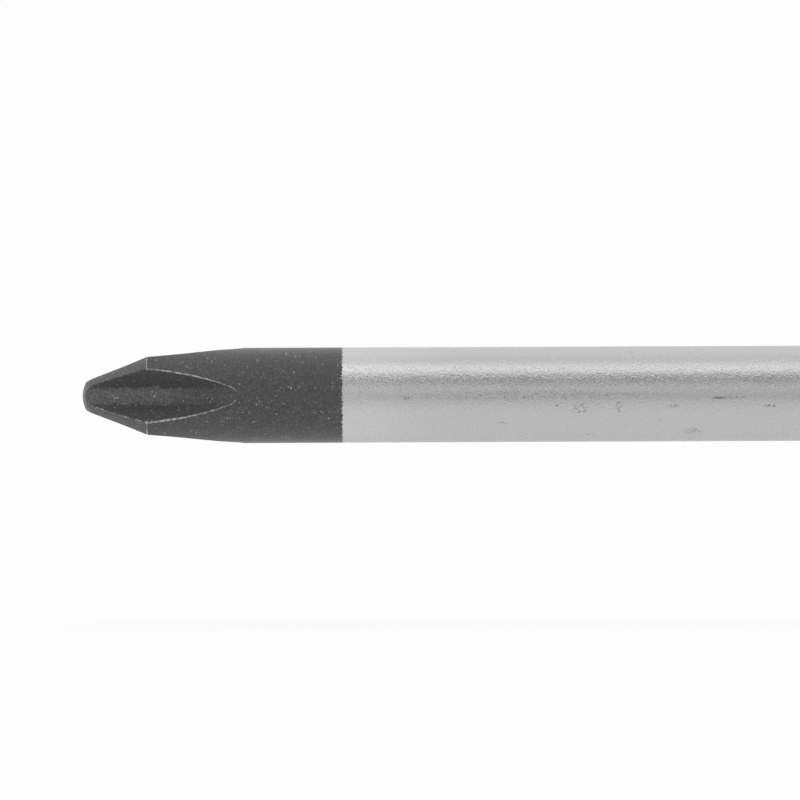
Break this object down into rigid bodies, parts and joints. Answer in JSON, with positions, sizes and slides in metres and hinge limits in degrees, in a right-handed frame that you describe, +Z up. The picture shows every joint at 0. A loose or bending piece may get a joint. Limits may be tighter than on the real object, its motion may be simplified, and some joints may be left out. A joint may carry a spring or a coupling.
{
  "type": "cross-head screwdriver",
  "caption": "Cross-head screwdriver with a round steel blade, a black fluted tip and a hexagonal handle with soft pads, a flange against rolling and a hanging hole.",
  "frame": {"origin": "middle of the tool's length and width, on the plane that the lower flat of the handle rests on", "axes": "+X along the blade axis from the tip to the butt of the handle, +Z up, one flute of the tip faces -Y"},
  "size_m": [0.205, 0.0332, 0.029],
  "materials": {
    "blade_steel": "satin chrome, with a matt black phosphated tip",
    "core_plastic": "natural, as moulded",
    "handle_plastic": "hard black plastic, satin",
    "grip_rubber": "soft grey grip, matt",
    "marker_plastic": "red plastic, half gloss"
  },
  "bodies": {
    "root": {"blade": "blade_steel", "inner_core": "core_plastic", "handle_body": "handle_plastic", "finger_grip": "grip_rubber", "palm_pad_1": "grip_rubber", "palm_pad_2": "grip_rubber", "palm_pad_3": "grip_rubber", "palm_pad_4": "grip_rubber", "palm_pad_5": "grip_rubber", "palm_pad_6": "grip_rubber", "end_cap": "handle_plastic", "cap_marker": "marker_plastic"}
  },
  "joints": []
}
